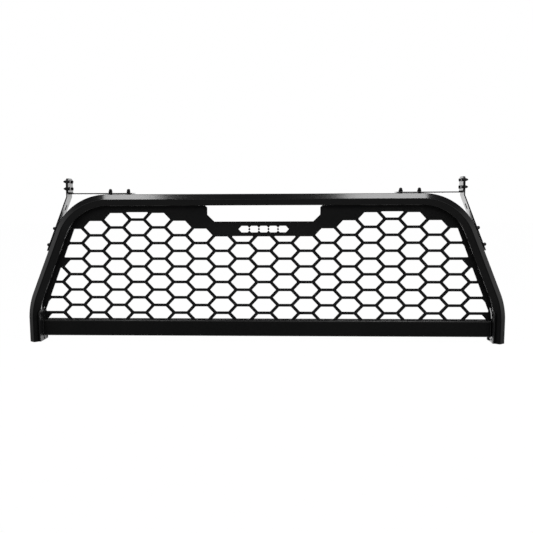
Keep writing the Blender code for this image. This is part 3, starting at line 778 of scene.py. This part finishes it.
# ----------------------------------------------------------------------------------------------------------
# Light brackets
# Each is two pieces of 4 mm flat steel. The arm lies on the hoop and bends up into a tab, the strut climbs
# the leg and bends upright against the tab, and the four bolts through both also hold a work light.
# ----------------------------------------------------------------------------------------------------------
BRACKET_WIDTH = 0.050
BRACKET_THICKNESS = 0.0041
TAB_FACE_X = 0.7070
TAB_TOP = 0.6015
TAB_CORNER = 0.012
ARM_START_X = 0.474
BEND_RADIUS = 0.004
STRUT_FOOT_Z = 0.3375
STRUT_STANDOFF = 0.0018
ARM_STANDOFF = 0.0010
TAB_BOLT_HEIGHTS = (0.5641, 0.5895)
TAB_BOLT_SPREAD = 0.016
SLOT_HEIGHT = 0.4950
SLOT_RADIUS = 0.006
SLOT_LENGTH = 0.023
CLEARANCE_HOLE = 0.0034
STUD_HOLE = 0.0045


def bracket(name, sign, corners, radii, tab_holes, stud_holes):
    """A bent flat bar: its side outline in X and Z, rounded at the top of its tab, then drilled."""
    mesh = flat_piece(name, [[(sign * x, z) for x, z in rounded(corners, radii, 8)]], BRACKET_WIDTH + 0.002)
    mesh.transform(Matrix.Translation((0, BRACKET_Y, 0)) @ ACROSS)
    half = BRACKET_WIDTH / 2
    slab_corners = [(-half, 0.3), (half, 0.3), (half, TAB_TOP), (-half, TAB_TOP)]
    slab = flat_piece("slab", [rounded(slab_corners, [0, 0, TAB_CORNER, TAB_CORNER], 8)], 0.6)
    slab.transform(Matrix.Translation((sign * 0.65, BRACKET_Y, 0)) @ SIDEWAYS)
    bar = cut(thing_of(name, mesh), thing_of("slab", slab), "INTERSECT")
    bar = drill(bar, tab_holes, CLEARANCE_HOLE, 0.014)
    bar = drill(bar, stud_holes, STUD_HOLE, 0.014)
    bar.name = name
    return bar


def arm_outline():
    low = RACK_HEIGHT + ARM_STANDOFF
    high = low + BRACKET_THICKNESS
    back = TAB_FACE_X + BRACKET_THICKNESS
    corners = [(ARM_START_X, low), (back, low), (back, TAB_TOP + 0.001), (TAB_FACE_X, TAB_TOP + 0.001)]
    corners += [(TAB_FACE_X, high), (ARM_START_X, high)]
    return corners, [0, BEND_RADIUS + BRACKET_THICKNESS, 0, 0, BEND_RADIUS, 0]


def strut_outline():
    shoulder, up, out = leg_line()
    near, far = STRUT_STANDOFF, STRUT_STANDOFF + BRACKET_THICKNESS
    face = TAB_FACE_X + BRACKET_THICKNESS + GAP
    back = face + BRACKET_THICKNESS
    foot = (STRUT_FOOT_Z - shoulder.y) / math.cos(LEAN)

    def spot(offset, distance):
        return tuple(shoulder + out * offset + up * distance)

    def meets(offset, x):
        return spot(offset, (shoulder.x + offset * out.x - x) / math.sin(LEAN))

    corners = [spot(near, foot), meets(near, face), (face, TAB_TOP + 0.001), (back, TAB_TOP + 0.001)]
    corners += [meets(far, back), spot(far, foot)]
    return corners, [0, BEND_RADIUS + BRACKET_THICKNESS, 0, 0, BEND_RADIUS, 0]


bracket_black = powder_coat("bracket_black_powder_coat", 0.00005, 0.2, 1.0)
for side, sign in SIDES:
    outward = Vector((sign, 0, 0))
    tab_holes = [(Vector((sign * (TAB_FACE_X + BRACKET_THICKNESS), BRACKET_Y + spread, height)), outward)
                 for height in TAB_BOLT_HEIGHTS for spread in (-TAB_BOLT_SPREAD, TAB_BOLT_SPREAD)]
    arm_holes = [(Vector((sign * x, BRACKET_Y, RACK_HEIGHT + 0.003)), UP) for x in TOP_STUD_X]
    arm = bracket(f"light_arm_bar_{side}", sign, *arm_outline(), tab_holes, arm_holes)
    arm = eased(arm, 0.0005)
    arm.name = f"light_arm_bar_{side}"
    keep(arm, bracket_black, "powder_coat", f"light_arm_{side}")
    strut_holes = [on_leg(sign, height, 0.004) for height in SIDE_STUD_HEIGHTS]
    strut = bracket(f"light_strut_bar_{side}", sign, *strut_outline(), tab_holes, strut_holes)
    middle = on_leg(sign, SLOT_HEIGHT, 0.004)[0]
    straight = SLOT_LENGTH / 2 - SLOT_RADIUS
    stadium = arc((0, straight), SLOT_RADIUS, 0, 180, 12) + arc((0, -straight), SLOT_RADIUS, 180, 360, 12)
    slot = flat_piece("strut_slot", [stadium], 0.03)
    slot.transform(Matrix.Translation(middle) @ Matrix.Rotation(-sign * LEAN, 4, "Y") @ SIDEWAYS)
    strut = eased(cut(strut, thing_of("strut_slot", slot)), 0.0005)
    strut.name = f"light_strut_bar_{side}"
    keep(strut, bracket_black, "powder_coat", f"light_strut_{side}")


# ----------------------------------------------------------------------------------------------------------
# Fasteners
# Plated black: M6 hexagon bolts and nylon-ring lock nuts at the tabs, and M8 dome nuts on studs along the
# arms and down the legs. The studs stand in bright zinc rivet nuts, set in the tube under each bracket.
# ----------------------------------------------------------------------------------------------------------
HEX_ACROSS_FLATS = 0.010
HEAD_HEIGHT = 0.004
TAB_BOLT_LENGTH = 0.0195
SHANK = 0.0028
THREAD_PITCH = 0.001
THREAD_DEPTH = 0.0004
STUD = 0.0038
STUD_BORE = 0.0041
STUD_RISE = 0.0100
DOME_ACROSS_FLATS = 0.013
DOME_HEX = 0.0065
DOME_RADIUS = 0.0061
RIVET_NUT_FLANGE = 0.0080
RIVET_NUT_LENGTH = 0.016


def plating(name, dark, light, base_roughness):
    """Plated steel: the sheen of the zinc, mottled by its chromate and scuffed by the spanner."""
    material, graph, shader, place = finish_of(name, metallic=0.9)
    mottle = noise(graph, place, 300, 4, 0.6)
    scuffs = ramp(graph, noise(graph, place, 1400, 2, 0.7), [(0.60, 0), (0.75, 1)])
    tone = blend_colours(graph, ramp(graph, mottle, [(0.35, 0), (0.65, 1)]), dark, light)
    grey = tuple(min(1.0, 2.2 * c + 0.02) for c in light[:3]) + (1,)
    bump = graph.add("ShaderNodeBump", None, {"Strength": 0.4, "Distance": 0.00003, "Height": mottle})
    feed(graph, shader, Base_Color=blend_colours(graph, scuffs * 0.35, tone, grey),
         Roughness=mottle * 0.18 + base_roughness, Normal=bump)
    return material


black_zinc = plating("black_zinc_plating", (0.018, 0.018, 0.019, 1), (0.045, 0.045, 0.047, 1), 0.22)
bright_zinc = plating("bright_zinc_plating", (0.42, 0.42, 0.43, 1), (0.62, 0.62, 0.63, 1), 0.22)


def lathe(name, profile, steps=28, closed=False):
    """A turned piece about Z: (radius, height) points running down its outer side."""
    links = [(i, i + 1) for i in range(len(profile) - 1)]
    if closed:
        links.append((len(profile) - 1, 0))
    solid = guide(name, [(radius, 0, height) for radius, height in profile], links)
    spin = solid.modifiers.new("turn", "SCREW")
    spin.steps = steps
    spin.render_steps = steps
    spin.use_merge_vertices = True
    spin.merge_threshold = 0.00001
    return thing_of(name, tidy_normals(plain_mesh(solid)))


def chamfered_hexagon(name, height, across_flats=HEX_ACROSS_FLATS):
    """A hexagon whose upper corners are turned off at 30 degrees."""
    radius = across_flats / 2 / math.cos(math.radians(30))
    prism = rod(name, radius, height, (0, 0, height / 2), UP, 6)
    turned_off = across_flats / 2 * 0.95
    drop = (radius - turned_off) * math.tan(math.radians(30))
    profile = [(0.0, height), (turned_off, height), (radius, height - drop)]
    profile += [(radius + 0.001, 0.0), (0.0, 0.0)]
    return cut(prism, lathe("chamfer", profile, 48), "INTERSECT")


def thread(top, bottom, radius=SHANK):
    """The (radius, height) points of a run of thread, from top down."""
    turns = round((top - bottom) / THREAD_PITCH)
    points = [(radius - 0.0006, top), (radius - THREAD_DEPTH, top - 0.0004)]
    for turn in range(turns):
        crest = top - 0.0004 - (turn + 0.35) * THREAD_PITCH
        points += [(radius, crest), (radius, crest - 0.00012)]
        points.append((radius - THREAD_DEPTH, crest - THREAD_PITCH / 2))
    return points


def copies(name, shape, seats, seed, material):
    """One shape copied onto its seats, each a place and an outward axis, and turned at random."""
    spots = guide(name + "_seats", [place for place, axis in seats])
    axes = spots.data.attributes.new("axis", "FLOAT_VECTOR", "POINT")
    for item, (place, axis) in zip(axes.data, seats):
        item.vector = axis
    mesh = grow(name, seated, {"Shape": shape, "Seats": spots, "Seed": seed, "Material": material})
    return thing_of(name, mesh)


graph, sockets, close = node_tree("seated_copies", [
    ("Shape", "Object"), ("Seats", "Object"), ("Seed", "Int"), ("Material", "Material"),
])
seats = graph.add("GeometryNodeObjectInfo", None, {"Object": sockets["Seats"]}, output="Geometry")
shape = graph.add("GeometryNodeObjectInfo", None, {"Object": sockets["Shape"]}, output="Geometry")
axis = graph.add("GeometryNodeInputNamedAttribute", {"data_type": "FLOAT_VECTOR"}, {"Name": "axis"})
upright = graph.add("FunctionNodeAlignRotationToVector", {"axis": "Z"}, {"Vector": axis})
full_turn = {2: 0.0, 3: math.tau, "Seed": sockets["Seed"]}
angle = graph.add("FunctionNodeRandomValue", {"data_type": "FLOAT"}, full_turn, output=1)
spin = graph.add("FunctionNodeAxisAngleToRotation", None, {"Axis": (0, 0, 1), "Angle": angle})
both_turns = {"Rotation": upright, "Rotate By": spin}
turned = graph.add("FunctionNodeRotateRotation", {"rotation_space": "LOCAL"}, both_turns)
on_seats = {"Points": seats, "Instance": shape, "Rotation": turned}
placed = graph.add("GeometryNodeInstanceOnPoints", None, on_seats)
seated_close = graph.add("GeometryNodeRealizeInstances", None, {"Geometry": placed})
graph.add("NodeGroupOutput", None, {0: graph.add(
    "GeometryNodeSetMaterial", None, {"Geometry": seated_close, "Material": sockets["Material"]})})
seated = graph


def smooth(solid, angle=32):
    solid.data.shade_smooth()
    solid.data.set_sharp_from_angle(angle=math.radians(angle))
    return solid


tab_bolt_seats, tab_nut_seats = [], []
nut_seat = TAB_FACE_X + 2 * BRACKET_THICKNESS + 2 * GAP
for side, sign in SIDES:
    for height in TAB_BOLT_HEIGHTS:
        for spread in (-TAB_BOLT_SPREAD, TAB_BOLT_SPREAD):
            y = BRACKET_Y + spread
            tab_bolt_seats.append((Vector((sign * (TAB_FACE_X - GAP), y, height)), Vector((-sign, 0, 0))))
            tab_nut_seats.append((Vector((sign * nut_seat, y, height)), Vector((sign, 0, 0))))
numbers = {count: [f"{side}_{n}" for side, sign in SIDES for n in range(1, count + 1)] for count in (2, 4)}

head = chamfered_hexagon("hex_bolt", HEAD_HEIGHT)
shank_points = [(0, 0.001), (SHANK, 0.001), (SHANK, -0.006)]
shank_points += [*thread(-0.0065, -TAB_BOLT_LENGTH + 0.0006)]
shank_points += [(SHANK - 0.0007, -TAB_BOLT_LENGTH), (0, -TAB_BOLT_LENGTH)]
hex_bolt = smooth(cut(head, lathe("hex_bolt_shank", shank_points), "UNION"))
bolts = copies("tab_hex_bolts", hex_bolt, tab_bolt_seats, 3, black_zinc)
keep(bolts, black_zinc, "black_zinc", *[f"tab_bolt_{n}" for n in numbers[4]])

nut = chamfered_hexagon("lock_nut", 0.005)
collar = [(0, 0.0075), (0.0036, 0.0075), (0.0041, 0.0073), (0.0043, 0.0068), (0.0043, 0.003), (0, 0.003)]
nut = cut(nut, lathe("lock_collar", collar), "UNION")
nut = smooth(cut(nut, rod("lock_bore", 0.0031, 0.03, (0, 0, 0), UP, 28)))
nuts = copies("tab_lock_nuts", nut, tab_nut_seats, 11, black_zinc)
keep(nuts, black_zinc, "black_zinc", *[f"tab_nut_{n}" for n in numbers[4]])

# Dome nuts, with the studs and rivet nuts under them, along the arms and then down the legs
dome = chamfered_hexagon("dome_nut", DOME_HEX, DOME_ACROSS_FLATS)
dome_curve = arc((0, DOME_HEX + 0.0022), DOME_RADIUS, 90, 0, 12)
dome = cut(dome, lathe("dome_cap", [*dome_curve, (DOME_RADIUS, 0.002), (0, 0.002)], 40), "UNION")
dome = smooth(cut(dome, rod("dome_bore", STUD_BORE, 2 * STUD_RISE + 2 * GAP, (0, 0, 0), UP, 28)))
top_seats = [(Vector((sign * x, BRACKET_Y, RACK_HEIGHT)), UP) for side, sign in SIDES for x in TOP_STUD_X]
leg_seats = [on_leg(sign, height) for side, sign in SIDES for height in SIDE_STUD_HEIGHTS]
groups = (("top", top_seats, ARM_STANDOFF, 5), ("side", leg_seats, STRUT_STANDOFF, 6))
for group, seats, stand_off, seed in groups:
    nut_height = stand_off + BRACKET_THICKNESS + GAP
    nut_seats = [(place + axis * nut_height, axis) for place, axis in seats]
    shape = thing_of("dome_shape", dome.data.copy())
    domes = copies(f"{group}_dome_nuts", shape, nut_seats, seed, black_zinc)
    keep(domes, black_zinc, "black_zinc", *[f"{group}_dome_nut_{n}" for n in numbers[2]])

    length = nut_height + STUD_RISE + RIVET_NUT_LENGTH
    turned = [(0, 0.0), *thread(0.0, 0.0005 - length, STUD), (STUD - 0.0007, -length), (0, -length)]
    stud_seats = [(place + axis * (nut_height + STUD_RISE), axis) for place, axis in seats]
    studs = copies(f"{group}_studs", smooth(lathe("stud", turned, 24)), stud_seats, seed + 4, bright_zinc)
    keep(studs, bright_zinc, "zinc", *[f"{group}_stud_{n}" for n in numbers[2]])

    flange = stand_off - 2 * GAP
    turned = [(RIVET_NUT_FLANGE, flange), (RIVET_NUT_FLANGE, 0), (RIVET_NUT_BODY, 0)]
    turned += [(RIVET_NUT_BODY, -RIVET_NUT_LENGTH), (STUD_BORE, -RIVET_NUT_LENGTH), (STUD_BORE, flange)]
    rivet_seats = [(place + axis * GAP, axis) for place, axis in seats]
    rivet_nut = smooth(lathe("rivet_nut", turned, closed=True))
    rivet_nuts = copies(f"{group}_rivet_nuts", rivet_nut, rivet_seats, seed + 8, bright_zinc)
    keep(rivet_nuts, bright_zinc, "zinc", *[f"{group}_rivet_nut_{n}" for n in numbers[2]])
bpy.data.objects.remove(dome)


# ----------------------------------------------------------------------------------------------------------
# Studio
# A white sweep behind and below, two softboxes high in front, and dark space where the camera stands, which
# is what the gloss black shows between its highlights.
# ----------------------------------------------------------------------------------------------------------
FLOOR_HALF = 12.0
scene.view_settings.view_transform = "Standard"

paper, graph, shader, place = finish_of("white_paper")
paper_grain = noise(graph, place, 30, 3)
paper_tone = blend_colours(graph, paper_grain, (0.985, 0.985, 0.985, 1), (1, 1, 1, 1))
feed(graph, shader, Emission_Color=paper_tone)
shader.inputs["Base Color"].default_value = (0.02, 0.02, 0.02, 1)
shader.inputs["Roughness"].default_value = 0.9
shader.inputs["Specular IOR Level"].default_value = 0.0
shader.inputs["Emission Strength"].default_value = 1.0
floor_mesh = bpy.data.meshes.new("studio_floor")
floor_corners = [(x * FLOOR_HALF, y * FLOOR_HALF, -0.001) for x, y in ((-1, -1), (1, -1), (1, 1), (-1, 1))]
floor_mesh.from_pydata(floor_corners, [], [(0, 1, 2, 3)])
floor = thing_of("studio_floor", floor_mesh)
floor.data.materials.append(paper)
floor.visible_glossy = False
floor.visible_diffuse = False

world = bpy.data.worlds.new("studio")
scene.world = world
world.use_nodes = True
world.node_tree.nodes.clear()
graph = Graph(world.node_tree)
way = graph.add("ShaderNodeTexCoord", output="Generated")
east = graph.add("ShaderNodeSeparateXYZ", None, {0: way}, output="X")
north, height = east.other("Y"), east.other("Z")
sideways = graph.add("ShaderNodeMath", {"operation": "ABSOLUTE"}, {0: east})
rearward = north * 0.5 + 0.5
raised = height * 0.5 + 0.5
behind = ramp(graph, rearward, [(0.85, 0), (0.94, 1)]) * ramp(graph, raised, [(0.53, 1), (0.56, 0)])
ridge = ramp(graph, rearward, [(0.20, 1), (0.35, 0)])
ridge = ridge * ramp(graph, raised, [(0.60, 0), (0.64, 1), (0.74, 1), (0.78, 0)])
under = ramp(graph, rearward, [(0.60, 0), (0.75, 1)]) * ramp(graph, raised, [(0.2, 1), (0.38, 0)])
ahead = ramp(graph, rearward, [(0.60, 1), (0.80, 0)])
beside = ramp(graph, sideways, [(0.75, 0), (1.0, 1)])
above = ramp(graph, raised, [(0.30, 0), (0.55, 1)])
below = ramp(graph, raised, [(0.22, 1), (0.42, 0)])
level = behind * 2.4 + beside * (0.6 * above) + (above * 0.035 + 0.02) * ahead
level = level + below * 0.14 + ridge * 0.7 + under * 0.5
camera_ray = graph.add("ShaderNodeLightPath", output="Is Camera Ray")
strength = camera_ray + (1 - camera_ray) * level
sky = graph.add("ShaderNodeBackground", None, {"Color": (1, 1, 1, 1), "Strength": strength})
graph.add("ShaderNodeOutputWorld", None, {0: sky})


def softbox(name, centre, size, radiance):
    """A lamp panel that faces straight down."""
    lamp = bpy.data.lights.new(name, "AREA")
    lamp.shape = "RECTANGLE"
    lamp.size, lamp.size_y = size
    lamp.energy = radiance * math.pi * size[0] * size[1]
    panel_light = bpy.data.objects.new(name, lamp)
    panel_light.location = centre
    scene.collection.objects.link(panel_light)
    panel_light.visible_camera = False


softbox("softbox_left", (-1.08, -0.72, 2.54), (0.46, 1.0), 10)
softbox("softbox_right", (0.845, -0.72, 2.54), (0.72, 1.0), 10)

camera = bpy.data.cameras.new("camera")
camera.lens = 39.984
camera.clip_start = 0.05
view = bpy.data.objects.new("camera", camera)
view.location = (0.09182, -2.15177, 0.51636)
view.rotation_euler = [math.radians(a) for a in (83.7064, 0.2325, 2.1441)]
scene.collection.objects.link(view)
scene.camera = view

bpy.context.view_layer.update()
